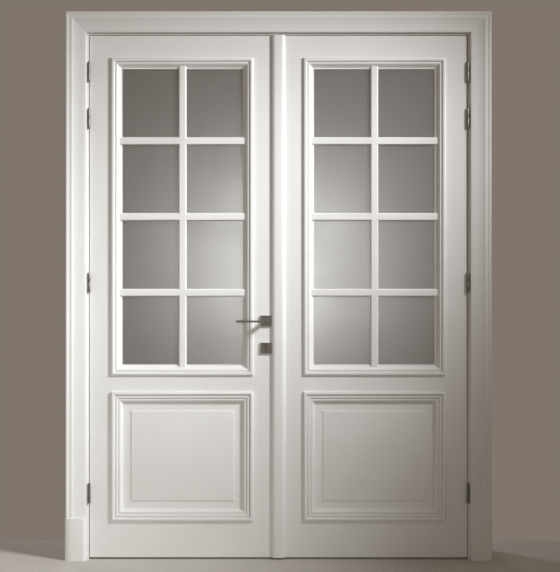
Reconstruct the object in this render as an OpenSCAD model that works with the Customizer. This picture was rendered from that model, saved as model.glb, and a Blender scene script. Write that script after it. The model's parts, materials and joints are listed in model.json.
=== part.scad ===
// French doors: two glazed and panelled leaves hung in a rebated lining, with architraves,
// plinth blocks, lift-off hinges, a mortice lock and flush bolts.
// X runs along the doorway, Y from the opening side to the back, Z up, all in millimetres.
// The origin is at floor level, in the middle of the doorway and of the whole depth.
// Shapes are drawn for the left side with Y = 0 on the leaves' front face, then moved or mirrored.

/* [Leaves] */
// Width of one leaf
leaf_w = 764; // [720:2:840]
// Height of a leaf
leaf_h = 2115; // [2090:5:2215]
// Thickness of a leaf
leaf_t = 40; // [40:1:44]
// Gap between the two leaves
seam_gap = 4; // [3.5:0.5:5]
// Gap between a leaf and the lining
side_gap = 3; // [2.5:0.5:4]
// Gap under the leaves
floor_gap = 8; // [5:1:12]

/* [Leaf faces] */
// Plain face of the hinge stile outside the mouldings
hinge_margin = 88; // [80:1:100]
// Plain face of the meeting stile outside the mouldings
meeting_margin = 100; // [98:1:112]
// Plain face of the top rail above the glazing
top_margin = 90; // [80:1:110]
// Plain face of the lock rail between panel and glazing
rail_margin = 66; // [60:1:90]
// Plain face of the bottom rail below the panel
foot_margin = 148; // [120:1:170]
// Height of the panel moulding, outside edge to outside edge
panel_h = 524; // [480:2:600]

/* [Glazing] */
// Thickness of the glass
glass_t = 6; // [4:1:8]
// Width of a glazing bar
bar_w = 31; // [24:1:36]
// Rows of lights
light_rows = 4; // [3:1:5]
// Columns of lights
light_columns = 2; // [1:1:3]

/* [Lining and architraves] */
// Thickness of the lining beside the leaves
lining_t = 30; // [26:1:35]
// Depth of the lining, from front edge to back edge
lining_d = 140; // [130:5:200]
// How far the stop stands in from the lining
stop_h = 15; // [12:1:18]
// Lining edge left showing beside an architrave
reveal = 8; // [8:1:20]
// Width of an architrave
architrave_w = 83; // [70:1:90]
// Thickness of an architrave at its highest bead
architrave_t = 24; // [20:1:28]
// Height of a plinth block
plinth_h = 171; // [150:1:200]
// Thickness of a plinth block
plinth_t = 30; // [28:1:34]

/* [Hinges] */
// Heights of the hinge centres
hinge_heights = [268, 1122, 1787, 1976]; // [150:1:2050]
// Height of a hinge
hinge_h = 80; // [80:5:90]
// Radius of a hinge knuckle
knuckle_r = 5.5; // [5:0.1:5.6]
// Radius of a hinge pin
pin_r = 3.5; // [3:0.1:3.6]

/* [Lock and handles] */
// Height of the handle spindle
spindle_z = 966; // [950:1:990]
// Distance from the spindle down to the key cylinder
cylinder_drop = 103; // [100:1:115]
// Distance from the leaf's edge to the spindle
backset = 48.5; // [48.5:0.5:52]
// Size of a square rose
rose_w = 45; // [40:1:45]
// Length of the lever from the spindle
lever_len = 120; // [110:1:135]
// How far the lever stands out from the leaf
lever_reach = 62; // [55:1:70]
// How far the latch stands out of the leaf's edge
latch_out = 11; // [10:0.5:12]

/* [Hidden] */
$fn = 48;

// Colours
paint = "#e8e5dd";
steel = "#8a8884";
bright = "#c9ccd0";
satin_glass = "#b9b7b0";
rubber_white = "#d6d3cb";

// The clear distance that a cutter runs past what it cuts
past = 1;
// Running clearance of a shaft in its hole, on the radius
run_fit = 0.06;
// Clearance between a sliding bolt and the plate around it
slide_gap = 0.5;

// Leaf edges, as they lie in the left half
leaf_in = -seam_gap / 2;
leaf_out = leaf_in - leaf_w;
leaf_top = floor_gap + leaf_h;
leaf_mid = leaf_t / 2;

// Lining
jamb_face = leaf_out - side_gap;
head_face = leaf_top + side_gap;
jamb_back = jamb_face - lining_t;
head_back = head_face + lining_t;
stop_gap = 3.5;
stop_y = leaf_t + stop_gap;

// Architraves and plinth blocks
trim_in = jamb_face - reveal;
trim_out = trim_in - architrave_w;
trim_top = head_face + reveal + architrave_w;
trim_flat = architrave_t - 4.5;
plinth_side = 3;

// The whole depth runs from the front lever to the rear architraves
face_y = (lever_reach - lining_d - architrave_t) / 2;

// Mouldings on the leaves: they cover the framing's edge by moulding_cover
moulding_cover = 20;
glazing_band = 43;
panel_band = 46;
moulding_w = leaf_w - hinge_margin - meeting_margin;
moulding_x = (leaf_in - meeting_margin + leaf_out + hinge_margin) / 2;
panel_z0 = floor_gap + foot_margin;
panel_z = panel_z0 + panel_h / 2;
glazing_z0 = panel_z0 + panel_h + rail_margin;
glazing_h = leaf_top - top_margin - glazing_z0;
glazing_z = glazing_z0 + glazing_h / 2;
edge_play = 2;
insert_w = moulding_w - 2 * (moulding_cover + edge_play);

// Glazing bars
sight_w = moulding_w - 2 * glazing_band;
sight_h = glazing_h - 2 * glazing_band;
light_w = (sight_w - (light_columns - 1) * bar_w) / light_columns;
light_h = (sight_h - (light_rows - 1) * bar_w) / light_rows;
glass_d = (leaf_t - glass_t) / 2;
bar_rise = 12;
bar_bury = 15;

// Raised panel
tongue_t = 14;
tongue_d = (leaf_t - tongue_t) / 2;
bevel_w = 32;
bevel_rise = 3;
field_step = 3;
field_rise = 6;

// Stiles, rails and their joints
hinge_stile_in = leaf_out + hinge_margin + moulding_cover;
meeting_stile_in = leaf_in - meeting_margin - moulding_cover;
tenon_len = 50;
tenon_t = 14;
tenon_shoulder = 12;
rail_spans = [
    [floor_gap, panel_z0 + moulding_cover],
    [panel_z0 + panel_h - moulding_cover, glazing_z0 + moulding_cover],
    [leaf_top - top_margin - moulding_cover, leaf_top]];

// Astragals: a planted strip over the seam, on the front of one leaf and the back of the other
astragal_w = 54;
astragal_t = 13;
astragal_round = 18;
astragal_lift = 0.5;
astragal_stop_gap = 2;

// Hinges, about an axis in the gap and in front of the leaf
hinge_x = leaf_out - side_gap / 2;
hinge_y = -6;
plate_t = 2;
plate_reach = 38;
knuckle_gap = 0.4;
plate_clear = 6.3;
screw_r = 2;
screw_head_r = 4;
screw_head_h = 2;
screw_play = 0.05;
screw_point = 3;
hinge_screw_len = 24;
hinge_screw_spots = [[-28, 30], [0, 20], [28, 30]];

// Seal in the corner of the rebate
seal_off = 8.5;
seal_bulb_w = 9;
seal_bulb_t = 3;
seal_stem_w = 3;
seal_stem_d = 6;

// Fixings through the jambs
fixing_r = 4;
fixing_first = 100;
fixing_step = 600;
fixing_count = 4;

// Lock
lock_x = leaf_in - backset;
cylinder_z = spindle_z - cylinder_drop;
forend_t = 3;
forend_w = 20;
forend_z = [cylinder_z - 58, spindle_z + 68];
forend_screw_z = [forend_z[0] + 8, forend_z[1] - 8];
case_t = 16;
case_wall = 1.5;
case_back = lock_x - 31;
case_z = [cylinder_z - 32, spindle_z + 42];
case_front = leaf_in - forend_t;
pocket_play = 0.5;
bolt_t = 11;
latch_z = [spindle_z + 2, spindle_z + 28];
bolt_z = [cylinder_z + 18, cylinder_z + 50];
bolt_len = 45;
bolt_rest = 0.3;
spindle_w = 8;
spindle_hole_r = 8;
follower_r = 11;
collar_r = 8.9;
arm_r = 17;
arm_w = 8;
tail_z = [spindle_z + 19, spindle_z + 25];
tail_hook = 6;
hook_play = 0.6;
profile_r = 8.5;
profile_w = 10;
profile_drop = 24.5;
plug_r = 6.5;
cam_r = 13.5;
cam_w = 8.6;
cam_slot_w = 10;
cylinder_proud = 9.5;
fixing_screw_drop = 19;
fixing_screw_r = 2.5;

// Roses and levers
rose_t = 8;
rose_edge = 6.5;
rose_top = 20.5;
rose_drop = 7;
neck_r = 9;
grip_t = 8;
grip_w = 18;
spindle_in = 36;

// Strike, flush bolts and keep, measured from the passive leaf's edge
strike_t = 2.5;
strike_w = 24;
strike_z = [bolt_z[0] - 24, latch_z[1] + 24];
strike_depth = 15;
strike_play = 2;
strike_screw_z = [strike_z[0] + 9, strike_z[1] - 9];
flush_w = 20;
flush_len = 180;
flush_inset = 42;
flush_screw_z = [flush_inset + 9, flush_inset + flush_len - 9];
short_screw_len = 11;
rod_r = 4;
rod_x = 16;
rod_play = 0.3;
rod_travel = 18;
thumb_w = 7;
thumb_h = 28;
thumb_play = 1;
keep_t = 2;
keep_w = 32;
keep_len = 22;
keep_screw_y = 10.5;
keep_depth = 22;

// Points of an elliptical arc
function bow(cx, cy, rx, ry, a0, a1, n) =
    [for (i = [0:n]) let (a = a0 + (a1 - a0) * i / n) [cx + rx * cos(a), cy + ry * sin(a)]];

// Points of an S curve, level at both ends, without its first point
function ogee(x0, y0, x1, y1, n) =
    [for (i = [1:n]) let (t = i / n) [x0 + (x1 - x0) * t, y0 + (y1 - y0) * (1 - cos(180 * t)) / 2]];

// ---- Placing ----

// Moves a shape from the leaf face's frame into the part's frame
module at_face() {
    translate([0, face_y, 0]) children();
}

// The right-hand copy of a shape drawn for the left
module right_hand() {
    at_face() mirror([1, 0, 0]) children();
}

// Turns a shape on the front face into the same shape on the back face
module on_back() {
    translate([0, leaf_t, 0]) mirror([0, 1, 0]) children();
}

// A box between two corners
module block(x, y, z) {
    translate([x[0], y[0], z[0]]) cube([x[1] - x[0], y[1] - y[0], z[1] - z[0]]);
}

// ---- Mouldings ----

// A length of moulding along +X. Its section grows inwards along +Z and stands out along -Y.
// A mitre of 1 cuts that end at 45 degrees, and 0 leaves it square.
module moulding(len, band, mitre_start, mitre_end) {
    side = band + 2 * past;
    reach = 60;
    intersection() {
        rotate([180, -90, 0]) linear_extrude(len) children();
        rotate([90, 0, 0]) translate([0, 0, -reach]) linear_extrude(2 * reach) polygon([
            [-past, -past], [len + past, -past],
            [len + past - mitre_end * side, band + past], [mitre_start * side - past, band + past]]);
    }
}

// Four mitred lengths around a rectangle centred on the origin in X and Z
module moulding_ring(w, h, band) {
    for (turn = [0, 180]) rotate([0, turn, 0]) translate([-w / 2, 0, -h / 2])
        moulding(w, band, 1, 1) children();
    for (turn = [90, -90]) rotate([0, turn, 0]) translate([-h / 2, 0, -w / 2])
        moulding(h, band, 1, 1) children();
}

// Section of an architrave: two low beads on the outside, a flat field, and a slight slope inwards
module architrave_section() {
    polygon(concat(
        [[0, 0]],
        bow(5, architrave_t - 5, 5, 5, 180, 75, 6),
        [[13, architrave_t - 1.2], [14.5, architrave_t - 2]],
        bow(22, architrave_t - 3.5, 7.5, 2, 140, 25, 5),
        [[31, trim_flat + 0.9], [33.5, trim_flat]],
        [[architrave_w - 15, trim_flat], [architrave_w - 1.5, trim_flat - 2.5],
        [architrave_w, trim_flat - 4], [architrave_w, 0]]));
}

// Section of a plinth block: rounded off to the outside, and next to the door to clear the leaf
module plinth_section() {
    round_w = 34;
    polygon(concat(
        [[-plinth_side, 0]],
        bow(round_w - plinth_side, plinth_t - 12, round_w, 12, 180, 90, 8),
        bow(architrave_w - 14, plinth_t - 12, 14, 12, 90, 0, 6),
        [[architrave_w, 0]]));
}

// Section of the glazing moulding: a round bead on the stile, then an ogee down to the glass
module glazing_section() {
    polygon(concat(
        [[2, 0], [0.6, 1.5]],
        bow(7.8, 4, 7.8, 6, 180, 0, 8),
        [[16.2, 1.2], [18, 1.4], [18.4, 3.6], [20.5, 4.2]],
        ogee(20.5, 4.2, 41, -12, 8),
        [[glazing_band, -12.4], [glazing_band, -glass_d], [moulding_cover, -glass_d],
        [moulding_cover, 0]]));
}

// Section of the panel moulding: a round bead on the stile, then two lower ones and a chamfer
module panel_section() {
    polygon(concat(
        [[2, 0], [0.6, 1.5]],
        bow(7.4, 4.5, 7.2, 6.5, 180, 0, 8),
        [[15.2, 2.2]],
        bow(21.4, 2, 5.9, 3.8, 180, 0, 6),
        [[27.6, -0.8]],
        bow(33, -1.2, 5.1, 2.8, 180, 0, 5),
        [[38.4, -4], [43.6, -6.6], [44.5, -9], [panel_band, -9.4], [panel_band, -tongue_d],
        [moulding_cover, -tongue_d], [moulding_cover, 0]]));
}

// Section of half a glazing bar's width, mirrored to make a bar
module bar_section() {
    edge = bar_w / 2;
    right = concat([[edge, -glass_d]], bow(edge - 5.5, bar_rise - glass_d - 7, 5.5, 7, 0, 90, 4));
    polygon(concat(right, [for (i = [len(right) - 1:-1:0]) [-right[i][0], right[i][1]]]));
}

// A glazing bar of a given length, centred on the origin and lying along X
module bar(length) {
    translate([-length / 2, 0, 0]) rotate([180, -90, 0]) linear_extrude(length) bar_section();
}

// The glazing moulding and its bars, glued up as one frame
module glazing_grid() {
    translate([moulding_x, 0, glazing_z]) {
        moulding_ring(moulding_w, glazing_h, glazing_band) glazing_section();
        for (i = [1:1:light_rows - 1])
            translate([0, 0, -sight_h / 2 + i * (light_h + bar_w) - bar_w / 2])
                bar(sight_w + 2 * bar_bury);
        for (i = [1:1:light_columns - 1])
            translate([-sight_w / 2 + i * (light_w + bar_w) - bar_w / 2, 0, 0])
                rotate([0, 90, 0]) bar(sight_h + 2 * bar_bury);
    }
}

module panel_moulding() {
    translate([moulding_x, 0, panel_z]) moulding_ring(moulding_w, panel_h, panel_band) panel_section();
}

// ---- Leaf framing ----

// A rail's tenon between two X positions, which is also the shape of its mortice
module tenon(span, x) {
    block(x, [leaf_mid - tenon_t / 2, leaf_mid + tenon_t / 2],
        [span[0] + tenon_shoulder, span[1] - tenon_shoulder]);
}

module rail(span) {
    block([hinge_stile_in, meeting_stile_in], [0, leaf_t], span);
    tenon(span, [hinge_stile_in - tenon_len, hinge_stile_in]);
    tenon(span, [meeting_stile_in, meeting_stile_in + tenon_len]);
}

module hinge_stile() {
    difference() {
        block([leaf_out, hinge_stile_in], [0, leaf_t], [floor_gap, leaf_top]);
        for (span = rail_spans) tenon(span, [hinge_stile_in - tenon_len, hinge_stile_in + past]);
        for (z = hinge_heights) {
            block([leaf_out - past, leaf_out + plate_t], [-past, hinge_y + plate_reach],
                [z - hinge_h / 2, z + hinge_h / 2]);
            hinge_screws_at(z, leaf_out, 1, screw_play);
        }
    }
}

// The meeting stile without its lock or bolt pockets
module meeting_stile_blank() {
    difference() {
        block([meeting_stile_in, leaf_in], [0, leaf_t], [floor_gap, leaf_top]);
        for (span = rail_spans) tenon(span, [meeting_stile_in - past, meeting_stile_in + tenon_len]);
    }
}

module active_stile() {
    difference() {
        meeting_stile_blank();
        block([case_back - pocket_play, leaf_in + past],
            [leaf_mid - case_t / 2 - pocket_play, leaf_mid + case_t / 2 + pocket_play],
            [case_z[0] - pocket_play, case_z[1] + pocket_play]);
        block([case_front, leaf_in + past], [leaf_mid - forend_w / 2, leaf_mid + forend_w / 2], forend_z);
        through_leaf(lock_x, spindle_z) cylinder(h = leaf_t + 2 * past, r = spindle_hole_r);
        profile_hole(leaf_t + 2 * past, 0.25);
        for (z = forend_screw_z) edge_screw(z, screw_play);
    }
}

module passive_stile() {
    difference() {
        meeting_stile_blank();
        block([leaf_in - strike_t, leaf_in + past],
            [leaf_mid - strike_w / 2, leaf_mid + strike_w / 2], strike_z);
        strike_pocket(latch_z);
        strike_pocket(bolt_z);
        for (z = strike_screw_z) edge_screw(z, screw_play);
        for (up = [0, 1]) flush_place(up) {
            block([-strike_t, past], [-flush_w / 2, flush_w / 2], [flush_inset, flush_inset + flush_len]);
            block([-rod_x - rod_r - thumb_play, 0], [-thumb_w / 2 - thumb_play, thumb_w / 2 + thumb_play],
                flush_slot());
            translate([-rod_x, 0, -past]) cylinder(h = flush_slot()[0] + 2 * past, r = rod_r + rod_play);
            for (z = flush_screw_z) flush_screw(z, screw_play);
        }
    }
}

// The panel: a tongue all round, a bevel, a small step and a raised field, the same on both faces
module raised_panel() {
    h = panel_h - 2 * (moulding_cover + edge_play);
    flat = panel_band - moulding_cover - edge_play;
    slope = flat + bevel_w;
    edge = slope + field_step;
    front = [[0, 0], [flat, 0], [slope, bevel_rise], [edge, field_rise]];
    back = [for (i = [3:-1:0]) [front[i][0], -tongue_t - front[i][1]]];
    translate([moulding_x, tongue_d, panel_z]) {
        moulding_ring(insert_w, h, edge) polygon(concat(front, back));
        block([-insert_w / 2 + edge, insert_w / 2 - edge], [-field_rise, tongue_t + field_rise],
            [-h / 2 + edge, h / 2 - edge]);
    }
}

module glass_pane() {
    h = glazing_h - 2 * (moulding_cover + edge_play);
    translate([moulding_x, 0, glazing_z])
        block([-insert_w / 2, insert_w / 2], [glass_d, glass_d + glass_t], [-h / 2, h / 2]);
}

// The strip over the seam, up to a given height. It is glued to the left leaf and lies just clear of
// the right one.
module astragal(top) {
    edge = astragal_w / 2;
    shoulder = 3;
    rise = astragal_t - shoulder;
    translate([0, 0, floor_gap]) linear_extrude(top - floor_gap) mirror([0, 1]) polygon(concat(
        [[-edge, 0]],
        bow(-edge + astragal_round, shoulder, astragal_round, rise, 180, 90, 6),
        bow(edge - astragal_round, shoulder, astragal_round, rise, 90, 0, 6),
        [[edge, astragal_lift], [leaf_in, astragal_lift], [leaf_in, 0]]));
}

// ---- Lining ----

// A jamb: the lining beside the leaf with the stop worked on it behind the leaf
module jamb() {
    difference() {
        union() {
            block([jamb_back, jamb_face], [0, lining_d], [0, head_face]);
            block([jamb_back, jamb_face + stop_h], [stop_y, lining_d], [0, head_face]);
        }
        seal_kerf() block([0, seal_stem_w], [0, seal_stem_d + past], [-past, head_face - stop_h]);
        for (z = hinge_heights) {
            block([jamb_face - plate_t, jamb_face + past], [-past, hinge_y + plate_reach],
                [z - hinge_h / 2, z + hinge_h / 2]);
            hinge_screws_at(z, jamb_face, -1, screw_play);
        }
        for (i = [0:fixing_count - 1])
            translate([jamb_back - past, leaf_mid, fixing_first + i * fixing_step])
                rotate([0, 90, 0]) cylinder(h = lining_t + 2 * past, r = fixing_r);
    }
}

// Places the kerf for the seal's stem in the left jamb's stop
module seal_kerf() {
    translate([jamb_face + seal_off - seal_stem_w / 2, stop_y - past, 0]) children();
}

// The head: it lies over the jambs, with its stop between theirs
module head() {
    inner = jamb_face + stop_h;
    seal_z = head_face - seal_off;
    difference() {
        union() {
            block([jamb_back, -jamb_back], [0, lining_d], [head_face, head_back]);
            block([inner, -inner], [stop_y, lining_d], [head_face - stop_h, head_face]);
        }
        block([inner - past, -inner + past], [stop_y - past, stop_y + seal_stem_d],
            [seal_z - seal_stem_w / 2, seal_z + seal_stem_w / 2]);
        head_keep_cut();
    }
}

// The bulb of the seal, in section: half round towards the leaf
module seal_bulb() {
    polygon(bow(0, 0, seal_bulb_w / 2, seal_bulb_t, 180, 0, 8));
}

// One soft strip around three sides, pushed into the kerfs by its stem
module seal() {
    x = jamb_face + seal_off;
    z = head_face - seal_off;
    stem_top = head_face - stop_h;
    for (side = [x, -x]) translate([side, stop_y, 0]) {
        linear_extrude(z + seal_bulb_w / 2) mirror([0, 1]) seal_bulb();
        block([-seal_stem_w / 2, seal_stem_w / 2], [0, seal_stem_d], [0, stem_top]);
    }
    translate([x - seal_bulb_w / 2, stop_y, z])
        rotate([180, -90, 0]) linear_extrude(-2 * x + seal_bulb_w) seal_bulb();
    inner = jamb_face + stop_h;
    block([inner, -inner], [stop_y, stop_y + seal_stem_d], [z - seal_stem_w / 2, z + seal_stem_w / 2]);
}

// An upright architrave from a foot height to the mitre at the top
module upright_architrave(foot) {
    translate([trim_out, 0, trim_top]) rotate([0, 90, 0])
        moulding(trim_top - foot, architrave_w, 1, 0) architrave_section();
}

module head_architrave() {
    translate([-trim_out, 0, trim_top]) rotate([0, 180, 0])
        moulding(-2 * trim_out, architrave_w, 1, 1) architrave_section();
}

// Moves a front architrave to the back edge of the lining
module behind_lining() {
    translate([0, lining_d, 0]) mirror([0, 1, 0]) children();
}

// A plinth block, its top edge chamfered
module plinth_block() {
    chamfer = 4;
    intersection() {
        translate([trim_out, 0, plinth_h]) rotate([0, 90, 0]) rotate([180, -90, 0])
            linear_extrude(plinth_h) plinth_section();
        translate([trim_out - 2 * plinth_side, 0, 0]) rotate([90, 0, 90]) linear_extrude(architrave_w + 20)
            polygon([[past, -past], [past, plinth_h + past], [chamfer - plinth_t + past, plinth_h + past],
                [-plinth_t - past, plinth_h - chamfer - past], [-plinth_t - past, -past]]);
    }
}

// ---- Screws ----

// A countersunk wood screw along +Z from its head's face. play widens it into its own hole.
module wood_screw(len, play) {
    shank = screw_r + play;
    rotate_extrude() polygon([[0, 0], [screw_head_r + play, 0], [shank, screw_head_h],
        [shank, len - screw_point], [0.4, len], [0, len]]);
}

// The three screws of one hinge half. dir is 1 into the leaf and -1 into the jamb.
module hinge_screws_at(z, x, dir, play) {
    for (spot = hinge_screw_spots) translate([x, hinge_y + spot[1], z + spot[0]])
        rotate([0, 90 * dir, 0]) wood_screw(hinge_screw_len, play);
}

// A screw into the meeting edge at a height
module edge_screw(z, play) {
    translate([leaf_in, leaf_mid, z]) rotate([0, -90, 0]) wood_screw(hinge_screw_len, play);
}

// A short screw into the edge, in a flush bolt's own frame
module flush_screw(z, play) {
    translate([0, 0, z]) rotate([0, -90, 0]) wood_screw(short_screw_len, play);
}

// ---- Hinges ----

// A hinge half about its own axis: knuckle on one half of the height and a plate in the gap.
// dir is -1 for the half on the lining and 1 for the half on the leaf.
module hinge_half(dir, z) {
    low = dir < 0 ? -hinge_h / 2 : knuckle_gap;
    high = dir < 0 ? 0 : hinge_h / 2;
    flat = side_gap / 2;
    difference() {
        union() {
            translate([hinge_x, hinge_y, z + low]) cylinder(h = high - low, r = knuckle_r);
            translate([hinge_x, hinge_y, z]) mirror([dir < 0 ? 1 : 0, 0, 0]) {
                block([flat, flat + plate_t], [0, plate_clear], [low, high]);
                block([flat, flat + plate_t], [plate_clear, plate_reach], [-hinge_h / 2, hinge_h / 2]);
            }
        }
        translate([hinge_x, hinge_y, z]) pin_shape(dir < 0 ? 0 : run_fit);
        hinge_screws_at(z, hinge_x + dir * flat, dir, screw_play);
    }
}

// The pin: pressed into the lower knuckle and turning in the upper one
module pin_shape(play) {
    translate([0, 0, 4 - hinge_h / 2]) cylinder(h = hinge_h - 8 + (play > 0 ? 1 : 0), r = pin_r + play);
}

// ---- Lock ----

// Turns a shape along +Z into one through the leaf from front to back
module through_leaf(x, z) {
    translate([x, -past, z]) rotate([-90, 0, 0]) children();
}

// The round-and-web outline of the key cylinder, widened by play
module profile_outline(play) {
    circle(profile_r + play);
    translate([-profile_w / 2 - play, 0]) square([profile_w + 2 * play, profile_drop + play]);
}

module profile_hole(length, play) {
    through_leaf(lock_x, cylinder_z) linear_extrude(length) profile_outline(play);
}

module case_body() {
    y = [leaf_mid - case_t / 2, leaf_mid + case_t / 2];
    difference() {
        block([case_back, case_front], y, case_z);
        block([case_back + case_wall, case_front + past], [y[0] + case_wall, y[1] - case_wall],
            [case_z[0] + case_wall, case_z[1] - case_wall]);
        through_leaf(lock_x, spindle_z) cylinder(h = leaf_t + 2 * past, r = collar_r + run_fit);
        profile_hole(leaf_t + 2 * past, 0.2);
    }
}

module forend() {
    bolt_hole = [leaf_mid - bolt_t / 2 - slide_gap, leaf_mid + bolt_t / 2 + slide_gap];
    x = [case_front - past, leaf_in + past];
    difference() {
        block([case_front, leaf_in], [leaf_mid - forend_w / 2, leaf_mid + forend_w / 2], forend_z);
        for (z = [latch_z, bolt_z]) block(x, bolt_hole, [z[0] - slide_gap, z[1] + slide_gap]);
        for (z = forend_screw_z) edge_screw(z, screw_play);
        cylinder_fixing(screw_play);
    }
}

// The long screw that holds the key cylinder, from the forend
module cylinder_fixing(play) {
    translate([leaf_in, leaf_mid, cylinder_z - fixing_screw_drop]) rotate([0, -90, 0]) {
        cylinder(h = 2.4, r1 = 4.5 + play, r2 = fixing_screw_r + play);
        cylinder(h = backset + 4, r = fixing_screw_r + play);
    }
}

module cylinder_body() {
    length = leaf_t + 2 * cylinder_proud;
    difference() {
        translate([0, -cylinder_proud, 0]) translate([lock_x, 0, cylinder_z])
            rotate([-90, 0, 0]) linear_extrude(length) profile_outline(0);
        translate([lock_x, -cylinder_proud - past, cylinder_z]) rotate([-90, 0, 0])
            cylinder(h = length + 2 * past, r = plug_r + run_fit);
        translate([lock_x, leaf_mid - cam_slot_w / 2, cylinder_z]) rotate([-90, 0, 0])
            cylinder(h = cam_slot_w, r = cam_r + 0.8);
        cylinder_fixing(screw_play);
    }
}

// The plug with its keyway at each end and the cam that throws the dead bolt
module plug() {
    key_w = 1.8;
    key_h = 7.5;
    key_depth = 22;
    length = leaf_t + 2 * cylinder_proud;
    translate([lock_x, 0, cylinder_z]) difference() {
        union() {
            translate([0, -cylinder_proud, 0]) rotate([-90, 0, 0]) cylinder(h = length, r = plug_r);
            translate([0, leaf_mid - cam_w / 2, 0]) rotate([-90, 0, 0])
                cylinder(h = cam_w, r = plug_r + 1.5);
            block([-3.5, 3.5], [leaf_mid - cam_w / 2, leaf_mid + cam_w / 2], [-cam_r + 0.5, 0]);
        }
        for (y = [[-cylinder_proud - past, key_depth - cylinder_proud],
            [leaf_t + cylinder_proud - key_depth, leaf_t + cylinder_proud + past]])
            block([-key_w / 2, key_w / 2], y, [-key_h + 3, 3]);
    }
}

// The sprung latch: a bevelled head, a tail over the follower and a hook that its arm pulls
module latch() {
    arm_back = lock_x - arm_w / 2 - hook_play;
    head_back_x = leaf_in - 24;
    y = [leaf_mid - bolt_t / 2, leaf_mid + bolt_t / 2];
    tail_y = [leaf_mid - 4, leaf_mid + 4];
    nose = leaf_in + latch_out;
    difference() {
        block([head_back_x, nose], y, latch_z);
        translate([0, 0, latch_z[0] - past]) linear_extrude(latch_z[1] - latch_z[0] + 2 * past)
            polygon([[nose + past, y[0] + 2.5], [nose + past, y[1] + past], [leaf_in + 0.5, y[1] + past],
                [leaf_in + 0.5, y[1]], [nose, y[0] + 2.5]]);
    }
    block([arm_back - tail_hook, head_back_x], tail_y, tail_z);
    block([arm_back - tail_hook, arm_back], tail_y, [spindle_z + follower_r + 1.5, tail_z[0]]);
}

module bolt() {
    x = leaf_in - bolt_rest;
    block([x - bolt_len, x], [leaf_mid - bolt_t / 2, leaf_mid + bolt_t / 2], bolt_z);
}

// The follower: a hub that runs in the case's sides, with an arm up to the latch's hook
module follower_hub() {
    inner = case_t - 2 * case_wall - 1;
    difference() {
        union() {
            through_from(leaf_mid - inner / 2) cylinder(h = inner, r = follower_r);
            through_from(leaf_mid - case_t / 2) cylinder(h = case_t, r = collar_r);
            block([lock_x - arm_w / 2, lock_x + arm_w / 2], [leaf_mid - 4, leaf_mid + 4],
                [spindle_z, spindle_z + arm_r]);
        }
        spindle_bar();
    }
}

// Starts a shape at a depth on the spindle's axis, running to the back
module through_from(y) {
    translate([lock_x, y, spindle_z]) rotate([-90, 0, 0]) children();
}

module spindle_bar() {
    half = spindle_w / 2;
    block([lock_x - half, lock_x + half], [-spindle_in, leaf_t + spindle_in],
        [spindle_z - half, spindle_z + half]);
}

// A square rose with four shallow facets, its back on the leaf
module rose(z) {
    half = rose_w / 2;
    outline = [[-half, 0], [half, 0], [half, rose_edge], [rose_top, rose_t], [-rose_top, rose_t],
        [-half, rose_edge]];
    translate([lock_x, 0, z]) intersection() {
        translate([0, 0, -half - past]) linear_extrude(rose_w + 2 * past) mirror([0, 1]) polygon(outline);
        translate([-half - past, 0, 0]) rotate([90, 0, 90]) linear_extrude(rose_w + 2 * past)
            mirror([1, 0]) polygon([for (p = outline) [p[1], p[0]]]);
    }
}

module lever_rose() {
    difference() {
        rose(spindle_z);
        through_from(-rose_t - past) cylinder(h = rose_t + 2 * past, r = neck_r + run_fit);
    }
}

module cylinder_rose() {
    difference() {
        rose(cylinder_z - rose_drop);
        translate([lock_x, -rose_t - past, cylinder_z]) rotate([-90, 0, 0])
            linear_extrude(rose_t + 2 * past) profile_outline(0.2);
    }
}

// A lever: a round neck and a slim flat grip, its far end rounded
module lever() {
    tip = lock_x - lever_len;
    heel = lock_x + neck_r + 1;
    half = grip_t / 2;
    difference() {
        union() {
            through_from(grip_w / 2 - lever_reach) cylinder(h = lever_reach - grip_w / 2 - 2, r = neck_r);
            translate([0, grip_w - lever_reach, spindle_z]) rotate([90, 0, 0]) linear_extrude(grip_w)
                polygon(concat(bow(tip + half, 0, half, half, 270, 90, 8),
                    [[heel, half], [heel, -half]]));
        }
        spindle_bar();
    }
}

// ---- Strike, flush bolts and keep, drawn in the left half and mirrored ----

// The pocket behind one hole of the strike plate
module strike_pocket(z) {
    block([leaf_in - strike_depth, leaf_in + past],
        [leaf_mid - bolt_t / 2 - strike_play, leaf_mid + bolt_t / 2 + strike_play],
        [z[0] - strike_play, z[1] + strike_play]);
}

module strike() {
    difference() {
        block([leaf_in - strike_t, leaf_in], [leaf_mid - strike_w / 2, leaf_mid + strike_w / 2], strike_z);
        for (z = [latch_z, bolt_z]) block([leaf_in - strike_t - past, leaf_in + past],
            [leaf_mid - bolt_t / 2 - 1, leaf_mid + bolt_t / 2 + 1], [z[0] - 1, z[1] + 1]);
        for (z = strike_screw_z) edge_screw(z, screw_play);
    }
}

// Places a flush bolt at the leaf's foot, or turned over at its top for up = 1
module flush_place(up) {
    translate([leaf_in, leaf_mid, up == 1 ? leaf_top : floor_gap]) mirror([0, 0, up]) children();
}

// The stretch of the plate's slot, which is also the pocket behind it
function flush_slot() = [flush_inset + 50, flush_inset + 50 + rod_travel + thumb_h + 2 * thumb_play];

module flush_plate() {
    difference() {
        block([-strike_t, 0], [-flush_w / 2, flush_w / 2], [flush_inset, flush_inset + flush_len]);
        block([-strike_t - past, past], [-thumb_w / 2 - slide_gap, thumb_w / 2 + slide_gap], flush_slot());
        for (z = flush_screw_z) flush_screw(z, screw_play);
    }
}

// The sliding rod with its thumb piece, withdrawn into the leaf
module flush_rod() {
    thumb_top = flush_slot()[1] - thumb_play;
    translate([-rod_x, 0, 1]) cylinder(h = thumb_top - 1, r = rod_r);
    block([-rod_x, -0.3], [-thumb_w / 2, thumb_w / 2], [thumb_top - thumb_h, thumb_top]);
}

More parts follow.
